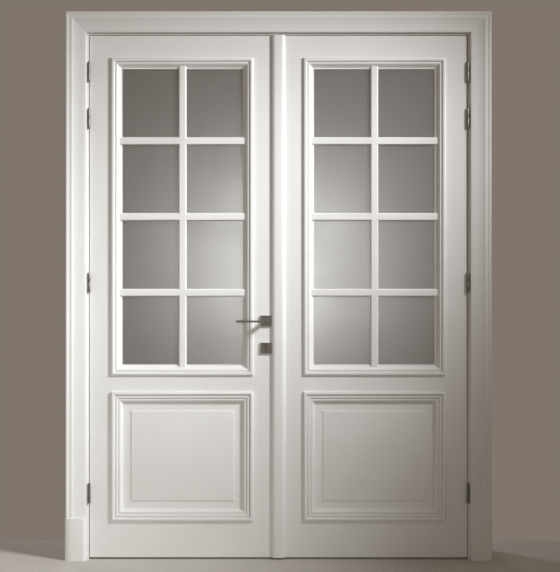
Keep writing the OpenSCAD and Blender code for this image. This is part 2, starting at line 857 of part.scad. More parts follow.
// The keep in the head that the top bolt shoots into
module head_keep_plate() {
    difference() {
        keep_outline(head_face);
        translate([leaf_in - rod_x, leaf_mid, head_face - past])
            cylinder(h = keep_t + 2 * past, r = rod_r + 0.6);
        keep_screws(screw_play);
    }
}

module keep_outline(from_z) {
    x = leaf_in - rod_x;
    block([x - keep_len / 2, x + keep_len / 2], [leaf_mid - keep_w / 2, leaf_mid + keep_w / 2],
        [from_z, head_face + keep_t]);
}

module keep_screws(play) {
    for (dy = [-keep_screw_y, keep_screw_y]) translate([leaf_in - rod_x, leaf_mid + dy, head_face])
        wood_screw(short_screw_len, play);
}

// What the keep needs cut out of the head, over the right-hand leaf
module head_keep_cut() {
    mirror([1, 0, 0]) {
        keep_outline(head_face - past);
        translate([leaf_in - rod_x, leaf_mid, head_face]) cylinder(h = keep_depth, r = rod_r + 0.6);
        keep_screws(screw_play);
    }
}

// ---- Nodes ----

module jamb_left() { color(paint) at_face() jamb(); }
module jamb_right() { color(paint) right_hand() jamb(); }
module head_lining() { color(paint) at_face() head(); }
module architrave_front_left() { color(paint) at_face() upright_architrave(plinth_h); }
module architrave_front_right() { color(paint) right_hand() upright_architrave(plinth_h); }
module architrave_front_head() { color(paint) at_face() head_architrave(); }
module architrave_rear_left() { color(paint) at_face() behind_lining() upright_architrave(0); }
module architrave_rear_right() { color(paint) right_hand() behind_lining() upright_architrave(0); }
module architrave_rear_head() { color(paint) at_face() behind_lining() head_architrave(); }
module plinth_block_left() { color(paint) at_face() plinth_block(); }
module plinth_block_right() { color(paint) right_hand() plinth_block(); }
module frame_seal() { color(rubber_white) at_face() seal(); }
module hinge_frame_halves() {
    color(steel) {
        at_face() for (z = hinge_heights) hinge_half(-1, z);
        right_hand() for (z = hinge_heights) hinge_half(-1, z);
    }
}
module hinge_pins() {
    color(steel) {
        at_face() for (z = hinge_heights) translate([hinge_x, hinge_y, z]) pin_shape(0);
        right_hand() for (z = hinge_heights) translate([hinge_x, hinge_y, z]) pin_shape(0);
    }
}
module frame_screws() {
    color(steel) {
        at_face() for (z = hinge_heights) hinge_screws_at(z, jamb_face, -1, 0);
        right_hand() for (z = hinge_heights) hinge_screws_at(z, jamb_face, -1, 0);
        right_hand() keep_screws(0);
    }
}
module head_keep() { color(steel) right_hand() head_keep_plate(); }

module active_hinge_stile() { color(paint) at_face() hinge_stile(); }
module active_meeting_stile() { color(paint) at_face() active_stile(); }
module active_top_rail() { color(paint) at_face() rail(rail_spans[2]); }
module active_lock_rail() { color(paint) at_face() rail(rail_spans[1]); }
module active_bottom_rail() { color(paint) at_face() rail(rail_spans[0]); }
module active_raised_panel() { color(paint) at_face() raised_panel(); }
module active_glass_pane() { color(satin_glass) at_face() glass_pane(); }
module active_glazing_front() { color(paint) at_face() glazing_grid(); }
module active_glazing_rear() { color(paint) at_face() on_back() glazing_grid(); }
module active_panel_moulding_front() { color(paint) at_face() panel_moulding(); }
module active_panel_moulding_rear() { color(paint) at_face() on_back() panel_moulding(); }
module active_astragal() { color(paint) at_face() astragal(leaf_top); }
module active_hinge_halves() { color(steel) at_face() for (z = hinge_heights) hinge_half(1, z); }
module active_screws() {
    color(steel) at_face() {
        for (z = hinge_heights) hinge_screws_at(z, leaf_out, 1, 0);
        for (z = forend_screw_z) edge_screw(z, 0);
        cylinder_fixing(0);
    }
}

module lock_case() { color(steel) at_face() case_body(); }
module lock_forend() { color(bright) at_face() forend(); }
module lock_cylinder() { color(bright) at_face() cylinder_body(); }
module cylinder_plug() { color(bright) at_face() plug(); }
module lever_roses() {
    color(bright) at_face() {
        lever_rose();
        on_back() lever_rose();
    }
}
module cylinder_roses() {
    color(bright) at_face() {
        cylinder_rose();
        on_back() cylinder_rose();
    }
}
module lever_front() { color(bright) at_face() lever(); }
module lever_rear() { color(bright) at_face() on_back() lever(); }
module spindle() { color(steel) at_face() spindle_bar(); }
module follower() { color(steel) at_face() follower_hub(); }
module latch_bolt() { color(bright) at_face() latch(); }
module dead_bolt() { color(bright) at_face() bolt(); }

module passive_hinge_stile() { color(paint) right_hand() hinge_stile(); }
module passive_meeting_stile() { color(paint) right_hand() passive_stile(); }
module passive_top_rail() { color(paint) right_hand() rail(rail_spans[2]); }
module passive_lock_rail() { color(paint) right_hand() rail(rail_spans[1]); }
module passive_bottom_rail() { color(paint) right_hand() rail(rail_spans[0]); }
module passive_raised_panel() { color(paint) right_hand() raised_panel(); }
module passive_glass_pane() { color(satin_glass) right_hand() glass_pane(); }
module passive_glazing_front() { color(paint) right_hand() glazing_grid(); }
module passive_glazing_rear() { color(paint) right_hand() on_back() glazing_grid(); }
module passive_panel_moulding_front() { color(paint) right_hand() panel_moulding(); }
module passive_panel_moulding_rear() { color(paint) right_hand() on_back() panel_moulding(); }
module passive_astragal() {
    color(paint) right_hand() on_back() astragal(head_face - stop_h - astragal_stop_gap);
}
module passive_hinge_halves() { color(steel) right_hand() for (z = hinge_heights) hinge_half(1, z); }
module passive_screws() {
    color(steel) right_hand() {
        for (z = hinge_heights) hinge_screws_at(z, leaf_out, 1, 0);
        for (z = strike_screw_z) edge_screw(z, 0);
        for (up = [0, 1]) flush_place(up) for (z = flush_screw_z) flush_screw(z, 0);
    }
}

module strike_plate() { color(bright) right_hand() strike(); }
module flush_bolt_plates() { color(steel) right_hand() for (up = [0, 1]) flush_place(up) flush_plate(); }
module flush_bolt_top() { color(steel) right_hand() flush_place(1) flush_rod(); }
module flush_bolt_bottom() { color(steel) right_hand() flush_place(0) flush_rod(); }

jamb_left();
jamb_right();
head_lining();
architrave_front_left();
architrave_front_right();
architrave_front_head();
architrave_rear_left();
architrave_rear_right();
architrave_rear_head();
plinth_block_left();
plinth_block_right();
frame_seal();
hinge_frame_halves();
hinge_pins();
frame_screws();
head_keep();
active_hinge_stile();
active_meeting_stile();
active_top_rail();
active_lock_rail();
active_bottom_rail();
active_raised_panel();
active_glass_pane();
active_glazing_front();
active_glazing_rear();
active_panel_moulding_front();
active_panel_moulding_rear();
active_astragal();
active_hinge_halves();
active_screws();
lock_case();
lock_forend();
lock_cylinder();
cylinder_plug();
lever_roses();
cylinder_roses();
lever_front();
lever_rear();
spindle();
follower();
latch_bolt();
dead_bolt();
passive_hinge_stile();
passive_meeting_stile();
passive_top_rail();
passive_lock_rail();
passive_bottom_rail();
passive_raised_panel();
passive_glass_pane();
passive_glazing_front();
passive_glazing_rear();
passive_panel_moulding_front();
passive_panel_moulding_rear();
passive_astragal();
passive_hinge_halves();
passive_screws();
strike_plate();
flush_bolt_plates();
flush_bolt_top();
flush_bolt_bottom();
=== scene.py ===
"""French doors with their frame: the finished look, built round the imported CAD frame.

Every piece is in metres in the doors' own frame: +Z up, -Y towards the side that the leaves open to.
"""

import json
import logging
import math
from collections.abc import Callable, Iterator, Sequence
from contextlib import contextmanager
from dataclasses import dataclass, field
from enum import Enum

import bmesh
import bpy
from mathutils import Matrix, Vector

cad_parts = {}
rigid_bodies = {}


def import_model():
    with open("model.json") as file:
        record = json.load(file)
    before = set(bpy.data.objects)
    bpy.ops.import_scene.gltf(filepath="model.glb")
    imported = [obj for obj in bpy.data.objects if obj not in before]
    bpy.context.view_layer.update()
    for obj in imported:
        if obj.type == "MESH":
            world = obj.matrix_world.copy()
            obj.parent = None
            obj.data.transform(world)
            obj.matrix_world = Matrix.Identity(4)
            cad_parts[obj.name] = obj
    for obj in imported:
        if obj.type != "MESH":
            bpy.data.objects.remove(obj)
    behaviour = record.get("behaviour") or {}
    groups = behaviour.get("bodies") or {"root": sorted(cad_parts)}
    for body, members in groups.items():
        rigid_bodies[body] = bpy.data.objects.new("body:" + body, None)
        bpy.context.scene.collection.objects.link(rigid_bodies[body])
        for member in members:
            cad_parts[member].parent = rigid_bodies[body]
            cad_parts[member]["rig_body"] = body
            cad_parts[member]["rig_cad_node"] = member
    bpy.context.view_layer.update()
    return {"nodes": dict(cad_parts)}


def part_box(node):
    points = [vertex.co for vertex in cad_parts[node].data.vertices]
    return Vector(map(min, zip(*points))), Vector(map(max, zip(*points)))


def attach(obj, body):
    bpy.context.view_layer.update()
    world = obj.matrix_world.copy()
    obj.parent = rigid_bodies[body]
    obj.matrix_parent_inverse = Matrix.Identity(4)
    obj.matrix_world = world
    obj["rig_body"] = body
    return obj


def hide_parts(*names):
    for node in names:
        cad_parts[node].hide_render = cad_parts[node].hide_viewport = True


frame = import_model()
log = logging.getLogger("french_doors")

MM = 0.001
NEAR = 0.01 * MM     # two places nearer than this count as one
WELD = 0.001 * MM    # points nearer than this are merged
ALONG = 0.9          # a unit direction with a larger share than this on an axis runs along it
X_AXIS, Y_AXIS = 0, 1
Point = tuple[float, float]
Place = tuple[float, float, float]


# ---- Sizes and directions ----

class Side(Enum):
    """The two leaves, as the CAD nodes and bodies spell them."""
    ACTIVE = "active"
    PASSIVE = "passive"


class Face(Enum):
    """The two faces of the doors, as the CAD nodes spell them."""
    FRONT = "front"
    REAR = "rear"


@dataclass(frozen=True)
class Outline:
    """An upright rectangle that a moulding or a panel starts from."""
    centre_x: float
    centre_z: float
    width: float
    height: float

    @classmethod
    def of_node(cls, node: str) -> "Outline":
        """Reads the rectangle that a CAD node fills, seen from the front.

        Args:
            node: the CAD node's name.

        Returns:
            Its outline in metres.
        """
        low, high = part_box(node)
        return cls((low.x + high.x) / 2, (low.z + high.z) / 2, high.x - low.x, high.z - low.z)

    def inset(self, margin: float) -> "Outline":
        """Returns the rectangle that lies margin inside this one."""
        return Outline(self.centre_x, self.centre_z, self.width - 2 * margin, self.height - 2 * margin)


def bow(centre: Point, radii: Point, start: float, stop: float, steps: int) -> list[Point]:
    """Samples an elliptical arc of a moulding's section.

    Args:
        centre: the arc's centre, in millimetres.
        radii: its radii across and out, in millimetres.
        start: first angle in degrees.
        stop: last angle in degrees.
        steps: number of chords.

    Returns:
        Points from start to stop.
    """
    turn = [math.radians(start + (stop - start) * i / steps) for i in range(steps + 1)]
    return [(centre[0] + radii[0] * math.cos(a), centre[1] + radii[1] * math.sin(a)) for a in turn]


def ogee(start: Point, stop: Point, steps: int) -> list[Point]:
    """Samples the S curve between two points of a moulding's section, without the first.

    Args:
        start: where the curve begins, in millimetres.
        stop: where it ends, in millimetres.
        steps: number of chords.

    Returns:
        Points after start, up to and with stop.
    """
    share = [i / steps for i in range(1, steps + 1)]
    return [(start[0] + (stop[0] - start[0]) * t,
             start[1] + (stop[1] - start[1]) * (1 - math.cos(math.pi * t)) / 2) for t in share]


# ---- Working by hand in edit mode ----

def take(piece: bpy.types.Object) -> None:
    """Selects one piece alone and makes it the active one.

    Args:
        piece: the piece.
    """
    bpy.ops.object.select_all(action="DESELECT")
    bpy.context.view_layer.objects.active = piece
    piece.select_set(True)


@contextmanager
def editing(piece: bpy.types.Object) -> Iterator[None]:
    """Opens one piece in edit mode and closes it again.

    Args:
        piece: the mesh object to work on.

    Yields:
        Nothing; the body of the with statement runs in edit mode.
    """
    take(piece)
    bpy.ops.object.mode_set(mode="EDIT")
    try:
        yield
    finally:
        bpy.ops.object.mode_set(mode="OBJECT")


def pick_faces(piece: bpy.types.Object, wanted: Callable[[Vector, Vector], bool]) -> None:
    """Selects faces in edit mode by their centre and normal.

    Args:
        piece: the piece in edit mode.
        wanted: takes a face's centre and normal and says whether it is selected.
    """
    bpy.ops.mesh.select_mode(type="FACE")
    bpy.ops.mesh.select_all(action="DESELECT")
    mesh = bmesh.from_edit_mesh(piece.data)
    for face in mesh.faces:
        face.select_set(wanted(face.calc_center_median(), face.normal))
    bmesh.update_edit_mesh(piece.data)


def pick_edges(piece: bpy.types.Object, wanted: Callable[[Vector, Vector], bool]) -> None:
    """Selects edges in edit mode by their middle and direction.

    Args:
        piece: the piece in edit mode.
        wanted: takes an edge's middle and unit direction and says whether it is selected.
    """
    bpy.ops.mesh.select_mode(type="EDGE")
    bpy.ops.mesh.select_all(action="DESELECT")
    mesh = bmesh.from_edit_mesh(piece.data)
    for edge in mesh.edges:
        a, b = (v.co for v in edge.verts)
        edge.select_set(wanted((a + b) / 2, (b - a).normalized()))
    bmesh.update_edit_mesh(piece.data)


def settle(piece: bpy.types.Object) -> None:
    """Applies the piece's place, turn and size to its mesh, so that its object sits at the origin."""
    take(piece)
    bpy.ops.object.transform_apply(location=True, rotation=True, scale=True)


def start_sheet(name: str, outline: Outline, y: float) -> bpy.types.Object:
    """Adds an upright rectangle that faces -Y.

    Args:
        name: the piece's name.
        outline: its size and place.
        y: its depth.

    Returns:
        The new piece.
    """
    bpy.ops.object.select_all(action="DESELECT")
    bpy.ops.mesh.primitive_plane_add(size=1, location=(outline.centre_x, y, outline.centre_z),
                                     rotation=(math.pi / 2, 0, 0))
    sheet = bpy.context.object
    sheet.name = sheet.data.name = name
    sheet.scale = (outline.width, outline.height, 1)
    settle(sheet)
    return sheet


def start_block(name: str, low: Sequence[float], high: Sequence[float]) -> bpy.types.Object:
    """Adds a block between two corners.

    Args:
        name: the piece's name.
        low: its lowest corner in metres.
        high: its highest corner in metres.

    Returns:
        The new piece.
    """
    bpy.ops.object.select_all(action="DESELECT")
    bpy.ops.mesh.primitive_cube_add(size=1, location=[(a + b) / 2 for a, b in zip(low, high)])
    block = bpy.context.object
    block.name = block.data.name = name
    block.scale = [b - a for a, b in zip(low, high)]
    settle(block)
    return block


def start_rod(name: str, centre: Sequence[float], radius: float, length: float) -> bpy.types.Object:
    """Adds a round rod along Y.

    Args:
        name: the piece's name.
        centre: its middle in metres.
        radius: its radius in metres.
        length: its length in metres.

    Returns:
        The new piece.
    """
    bpy.ops.object.select_all(action="DESELECT")
    bpy.ops.mesh.primitive_cylinder_add(vertices=64, radius=radius, depth=length, location=centre,
                                        rotation=(math.pi / 2, 0, 0))
    rod = bpy.context.object
    rod.name = rod.data.name = name
    settle(rod)
    return rod


def turn_outwards(piece: bpy.types.Object, weld: float = WELD) -> None:
    """Merges a piece's doubles and points its faces outwards.

    Args:
        piece: the piece.
        weld: how near two points count as one, in metres.
    """
    with editing(piece):
        bpy.ops.mesh.select_all(action="SELECT")
        bpy.ops.mesh.remove_doubles(threshold=weld)
        bpy.ops.mesh.normals_make_consistent(inside=False)


def run_section(name: str, outline: Outline, face_y: float, section: Sequence[Point]) -> bpy.types.Object:
    """Runs a closed moulding section round a rectangle with mitred corners, standing out towards -Y.

    Args:
        name: the piece's name.
        outline: the rectangle that the section's first measure is taken in from.
        face_y: the depth that the section's second measure is taken out from.
        section: points in millimetres, inwards from the outline and outwards from the face.

    Returns:
        The moulding as one closed mesh.
    """
    first_in, first_out = section[0]
    ring = start_sheet(name, outline.inset(first_in * MM), face_y - first_out * MM)
    centre = (outline.centre_x, face_y, outline.centre_z)
    with editing(ring):
        bpy.ops.mesh.select_all(action="SELECT")
        bpy.ops.mesh.delete(type="ONLY_FACE")
        bpy.ops.mesh.select_all(action="SELECT")
        for (a_in, a_out), (b_in, b_out) in zip(section, [*section[1:], section[0]]):
            bpy.ops.mesh.extrude_edges_move(TRANSFORM_OT_translate={"value": (0, (a_out - b_out) * MM, 0)})
            before, after = outline.inset(a_in * MM), outline.inset(b_in * MM)
            bpy.ops.transform.resize(value=(after.width / before.width, 1, after.height / before.height),
                                     center_override=centre)
    turn_outwards(ring, NEAR)
    return ring


def cut_off(piece: bpy.types.Object, point: Sequence[float], away: Sequence[float]) -> None:
    """Saws a piece along a plane, takes away what lies beyond and closes the cut.

    Args:
        piece: the piece.
        point: a point on the plane.
        away: the direction of what is taken away.
    """
    with editing(piece):
        bpy.ops.mesh.select_all(action="SELECT")
        bpy.ops.mesh.bisect(plane_co=point, plane_no=away, use_fill=True, clear_outer=True)
    turn_outwards(piece)


def copy_piece(piece: bpy.types.Object, name: str) -> bpy.types.Object:
    """Copies a piece with a mesh of its own.

    Args:
        piece: the piece to copy.
        name: the copy's name.

    Returns:
        The copy.
    """
    take(piece)
    bpy.ops.object.duplicate(linked=False)
    twin = bpy.context.object
    twin.name = twin.data.name = name
    return twin


def mirrored(piece: bpy.types.Object, name: str, axis: int, about: float = 0.0) -> bpy.types.Object:
    """Makes the opposite hand of a piece.

    Args:
        piece: the piece to copy.
        name: the copy's name.
        axis: X_AXIS to swap left and right, Y_AXIS to swap front and rear.
        about: the mirror's place along that axis.

    Returns:
        The mirrored copy, its faces outwards.
    """
    twin = copy_piece(piece, name)
    twin.scale[axis] = -1
    twin.location[axis] = 2 * about
    settle(twin)
    turn_outwards(twin)
    return twin


def apply_modifier(piece: bpy.types.Object, kind: str, **settings: object) -> None:
    """Adds one modifier with its settings and applies it.

    Args:
        piece: the piece.
        kind: the modifier's type.
        settings: its properties.
    """
    modifier = piece.modifiers.new(kind.lower(), kind)
    for key, value in settings.items():
        setattr(modifier, key, value)
    take(piece)
    bpy.ops.object.modifier_apply(modifier=modifier.name)


def combine(piece: bpy.types.Object, tool: bpy.types.Object, operation: str) -> None:
    """Joins a second solid to a piece, or cuts the piece with it, and throws the second away.

    Args:
        piece: the piece that stays.
        tool: the solid that is used up.
        operation: UNION or DIFFERENCE.
    """
    apply_modifier(piece, "BOOLEAN", operation=operation, object=tool, solver="EXACT")
    bpy.data.objects.remove(tool)


def ease(piece: bpy.types.Object, width: float, segments: int = 2, angle: float = 40) -> None:
    """Rounds a piece's sharp arrises.

    Args:
        piece: the piece.
        width: the rounding's width in metres.
        segments: facets across it.
        angle: arrises sharper than this many degrees are rounded.
    """
    apply_modifier(piece, "BEVEL", width=width, segments=segments, limit_method="ANGLE",
                   angle_limit=math.radians(angle), use_clamp_overlap=True, harden_normals=False)


def smooth(piece: bpy.types.Object, angle: float = 32) -> None:
    """Shades a piece smooth except across arrises sharper than the angle in degrees."""
    take(piece)
    bpy.ops.object.shade_smooth_by_angle(angle=math.radians(angle))


def eased_copy(node: str, name: str, width: float) -> bpy.types.Object:
    """Copies a CAD node, welds its facets and rounds its arrises, as a finished part has them.

    Args:
        node: the CAD node.
        name: the new piece's name.
        width: the rounding's width in metres.

    Returns:
        The new piece, parted from its body.
    """
    source = frame["nodes"][node]
    twin = source.copy()
    twin.data = source.data.copy()
    twin.name = twin.data.name = name
    twin.parent = None
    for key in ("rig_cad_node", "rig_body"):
        if key in twin:
            del twin[key]
    bpy.context.scene.collection.objects.link(twin)
    with editing(twin):
        bpy.ops.mesh.select_all(action="SELECT")
        bpy.ops.mesh.customdata_custom_splitnormals_clear()
        bpy.ops.mesh.remove_doubles(threshold=2 * WELD)
        bpy.ops.mesh.dissolve_limited(angle_limit=math.radians(1))
    ease(twin, width)
    smooth(twin)
    return twin


# ---- Finishes ----

def linear(code: str) -> tuple[float, float, float, float]:
    """Turns an sRGB hex colour to the linear colour that shaders take.

    Args:
        code: the colour as six hex digits.

    Returns:
        Red, green, blue and a full alpha.
    """
    parts = [int(code[i:i + 2], 16) / 255 for i in (0, 2, 4)]
    red, green, blue = (p / 12.92 if p <= 0.04045 else ((p + 0.055) / 1.055) ** 2.4 for p in parts)
    return red, green, blue, 1.0


def add_node(tree: bpy.types.NodeTree, kind: str, inputs: dict[str | int, object] | None = None,
             **settings: object) -> bpy.types.Node:
    """Adds a node with its settings, values and links.

    Args:
        tree: the material's node tree.
        kind: the node's type.
        inputs: socket name or number to a value, or to the output that feeds it.
        settings: the node's properties.

    Returns:
        The new node.
    """
    node = tree.nodes.new(kind)
    for key, value in settings.items():
        setattr(node, key, value)
    for key, value in (inputs or {}).items():
        if isinstance(value, bpy.types.NodeSocket):
            tree.links.new(value, node.inputs[key])
        else:
            node.inputs[key].default_value = value
    return node


@dataclass(frozen=True)
class Finish:
    """What every finish has: its name and the two tones and gloss limits that its pattern runs between.

    The pattern is a noise from 0 to 1. The last two pairs are the noise values at which the tones and the
    gloss reach their limits.
    """
    name: str
    tone: str
    second_tone: str
    gloss: Point
    patch_mm: float
    relief_mm: float
    relief_depth_mm: float
    stretch: tuple[float, float, float] = (1, 1, 1)
    sockets: tuple[tuple[str, float], ...] = ()
    tone_reach: Point = (0.35, 0.65)
    gloss_reach: Point = (0.3, 0.7)

    def make(self) -> bpy.types.Material:
        """Builds the material: slow change of tone and of gloss along one noise pattern, and a fine relief.

        Returns:
            The finished material.
        """
        material = bpy.data.materials.new(self.name)
        material.use_nodes = True
        tree = material.node_tree
        shader = tree.nodes["Principled BSDF"]
        place = add_node(tree, "ShaderNodeTexCoord")
        along = add_node(tree, "ShaderNodeMapping", {"Vector": place.outputs["Object"],
                         "Scale": self.stretch})
        patches = add_node(tree, "ShaderNodeTexNoise", {"Vector": along.outputs["Vector"],
                           "Scale": 1 / (self.patch_mm * MM), "Detail": 3, "Roughness": 0.55})
        relief = add_node(tree, "ShaderNodeTexNoise", {"Vector": along.outputs["Vector"],
                          "Scale": 1 / (self.relief_mm * MM), "Detail": 2, "Roughness": 0.5})
        tone = add_node(tree, "ShaderNodeValToRGB", {"Fac": patches.outputs["Fac"]})
        stops = zip(tone.color_ramp.elements, self.tone_reach, (self.tone, self.second_tone))
        for stop, reach, code in stops:
            stop.position = reach
            stop.color = linear(code)
        gloss = add_node(tree, "ShaderNodeMapRange", {"Value": patches.outputs["Fac"],
                         "From Min": self.gloss_reach[0], "From Max": self.gloss_reach[1],
                         "To Min": self.gloss[0], "To Max": self.gloss[1]})
        bump = add_node(tree, "ShaderNodeBump", {"Height": relief.outputs["Fac"], "Strength": 1.0,
                        "Distance": self.relief_depth_mm * MM})
        tree.links.new(tone.outputs["Color"], shader.inputs["Base Color"])
        tree.links.new(gloss.outputs["Result"], shader.inputs["Roughness"])
        tree.links.new(bump.outputs["Normal"], shader.inputs["Normal"])
        for socket, value in self.sockets:
            shader.inputs[socket].default_value = value
        return material


# Water-based satin lacquer, sprayed on primed timber: a nearly neutral off-white with a soft sheen and a
# trace of orange peel, 2.5 mm across.
LACQUER = Finish("satin_lacquer_sprayed", "EBEBE8", "E8E8E4", (0.34, 0.42), 160, 2.5, 0.012)
# The same lacquer on the lining and architraves, rolled on site, so a little coarser.
LACQUER_ROLLED = Finish("satin_lacquer_rolled", "EAEAE7", "E7E7E3", (0.38, 0.46), 120, 3.5, 0.02)
# Acid-etched float glass: a cloudy grey that blurs what is behind it and carries a broad soft sheen.
GLASS = Finish("satin_etched_glass", "BCBBB8", "B6B5B2", (0.50, 0.56), 220, 1.2, 0.004,
               sockets=(("Transmission Weight", 0.90), ("IOR", 1.5)))
# Polished chrome on zinc castings, its shine broken by handling and by faint wiping marks.
CHROME = Finish("polished_chrome_plate", "CDCFD1", "C5C7C9", (0.14, 0.20), 14, 6.0, 0.002,
                sockets=(("Metallic", 1.0),))
# Satin stainless steel of the hinges, brushed along their length and dulled.
HINGE_STEEL = Finish("satin_steel_hinges", "8F8D88", "86847F", (0.44, 0.54), 9, 0.6, 0.003, (1, 1, 0.06),
                     sockets=(("Metallic", 1.0),))
# Brushed stainless strip of the forend, strike and bolt plates.
BRUSHED_STEEL = Finish("brushed_stainless_strip", "B7B5B1", "ABA9A4", (0.24, 0.34), 7, 0.5, 0.004,
                       (1, 1, 0.05), sockets=(("Metallic", 1.0),))
# Bright zinc plate on the lock case and the spindle, with its faint blue-grey spangle.
ZINC_PLATE = Finish("bright_zinc_plate", "A3A6A8", "96999B", (0.30, 0.42), 11, 1.0, 0.005,
                    sockets=(("Metallic", 1.0),))
# Satin nickel on the brass key cylinder.
NICKEL = Finish("satin_nickel_on_brass", "C2C0BB", "B8B6B1", (0.22, 0.30), 6, 0.5, 0.002,
                sockets=(("Metallic", 1.0),))
# Extruded soft seal, matched to the paint.
SEAL_RUBBER = Finish("extruded_soft_seal", "D8D4C9", "D0CCC1", (0.60, 0.70), 30, 0.8, 0.01, (1, 1, 0.2))
# Turned steel wood screws, zinc plated.
SCREW_STEEL = Finish("zinc_plated_screws", "ACADAD", "A1A2A2", (0.28, 0.38), 5, 0.5, 0.003,
                     sockets=(("Metallic", 1.0),))
# Matt pale floor for the studio.
FLOOR_MATT = Finish("matt_pale_floor", "C9C5BE", "C3BFB8", (0.62, 0.74), 400, 4.0, 0.02)


class Paintbox:
    """Makes each finish once and puts it on pieces."""

    def __init__(self) -> None:
        """Starts with no material made."""
        self._made: dict[str, bpy.types.Material] = {}

    def coat(self, piece: bpy.types.Object, finish: Finish) -> None:
        """Gives a piece one finish all over.

        Args:
            piece: a new piece or a CAD node's object.
            finish: the finish it gets.
        """
        if finish.name not in self._made:
            self._made[finish.name] = finish.make()
        piece.data.materials.clear()
        piece.data.materials.append(self._made[finish.name])
        piece.data.polygons.foreach_set("material_index", [0] * len(piece.data.polygons))


@dataclass
class Assembly:
    """A sub-assembly of the doors, which dresses its pieces and hangs them on their CAD bodies."""
    paints: Paintbox

    def fit(self, piece: bpy.types.Object, body: str, finish: Finish, slot: str, *stands_for: str) -> None:
        """Finishes one new piece: its coat, its body and the CAD nodes that it stands for.

        Args:
            piece: the finished mesh.
            body: the CAD body that it moves with.
            finish: its finish.
            slot: the record's material slot; not used.
            stands_for: the CAD nodes that it replaces.
        """
        self.paints.coat(piece, finish)
        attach(piece, body)
        if stands_for:
            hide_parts(*stands_for)
        log.info("%s: %d faces on %s", piece.name, len(piece.data.polygons), body)

    def dress(self, finish: Finish, *nodes: str) -> None:
        """Gives CAD nodes that stay as they are their finish.

        Args:
            finish: the finish.
            nodes: the CAD nodes' names.
        """
        for node in nodes:
            self.paints.coat(frame["nodes"][node], finish)
            log.info("%s keeps its CAD shape in %s", node, finish.name)


# ---- The frame ----

